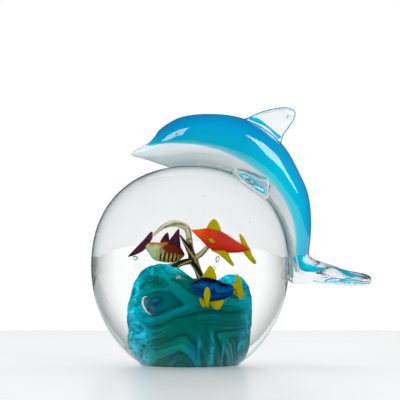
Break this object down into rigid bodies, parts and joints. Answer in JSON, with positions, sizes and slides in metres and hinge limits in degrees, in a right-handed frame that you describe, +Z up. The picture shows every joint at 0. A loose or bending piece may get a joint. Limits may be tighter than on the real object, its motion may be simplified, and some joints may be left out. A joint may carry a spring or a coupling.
{
  "type": "glass figurine",
  "caption": "Clear glass ball with a flat base, holding a teal glass reef with coral and fish, and an arched blue glass dolphin fused over its top and side.",
  "frame": {"origin": "centre of the ball's flat base, on the ball's vertical axis", "axes": "+Z up along the ball's axis; +X from the dolphin's beak towards its tail; -Y is the dolphin's left side"},
  "size_m": [0.1393, 0.099, 0.1291],
  "materials": {
    "clear_glass": "clear, polished",
    "streaked_clear_glass": "clear with cyan streaks, polished",
    "teal_glass": "swirled teal and dark green under clear glass",
    "blue_glass": "cased bright blue",
    "white_glass": "milky white",
    "black_glass": "opaque black",
    "olive_glass": "twisted amber and olive cane",
    "ivory_glass": "pale translucent ivory and green",
    "yellow_glass": "opaque yellow",
    "red_glass": "opaque orange red",
    "navy_glass": "deep blue with a black line",
    "amber_glass": "pale green and amber with dark red stripes",
    "maroon_glass": "opaque dark maroon"
  },
  "bodies": {
    "root": {"amber_fish_body": "amber_glass", "amber_fish_front_dorsal_spine": "maroon_glass", "amber_fish_rear_dorsal_spine": "maroon_glass", "amber_fish_stem": "clear_glass", "amber_fish_tail_fin": "maroon_glass", "blue_fish_body": "navy_glass", "blue_fish_dorsal_fin": "yellow_glass", "blue_fish_front_pelvic_fin": "yellow_glass", "blue_fish_left_pectoral_fin": "yellow_glass", "blue_fish_rear_pelvic_fin": "yellow_glass", "blue_fish_right_pectoral_fin": "yellow_glass", "blue_fish_stem": "clear_glass", "blue_fish_tail_fin": "yellow_glass", "coral_arch": "ivory_glass", "coral_left_arm": "olive_glass", "coral_right_arm": "ivory_glass", "coral_spike": "olive_glass", "coral_trunk": "olive_glass", "dolphin_back": "blue_glass", "dolphin_belly": "white_glass", "dolphin_casing": "clear_glass", "dolphin_dorsal_fin": "clear_glass", "dolphin_left_eye": "black_glass", "dolphin_left_flipper": "clear_glass", "dolphin_right_eye": "black_glass", "dolphin_right_flipper": "clear_glass", "dolphin_tail_flukes": "streaked_clear_glass", "globe": "clear_glass", "orange_fish_body": "red_glass", "orange_fish_dorsal_fin": "yellow_glass", "orange_fish_left_side_fin": "yellow_glass", "orange_fish_lower_tail_lobe": "yellow_glass", "orange_fish_pelvic_fin": "yellow_glass", "orange_fish_right_side_fin": "yellow_glass", "orange_fish_stem": "clear_glass", "orange_fish_upper_tail_lobe": "yellow_glass", "reef_core": "teal_glass"}
  },
  "joints": []
}
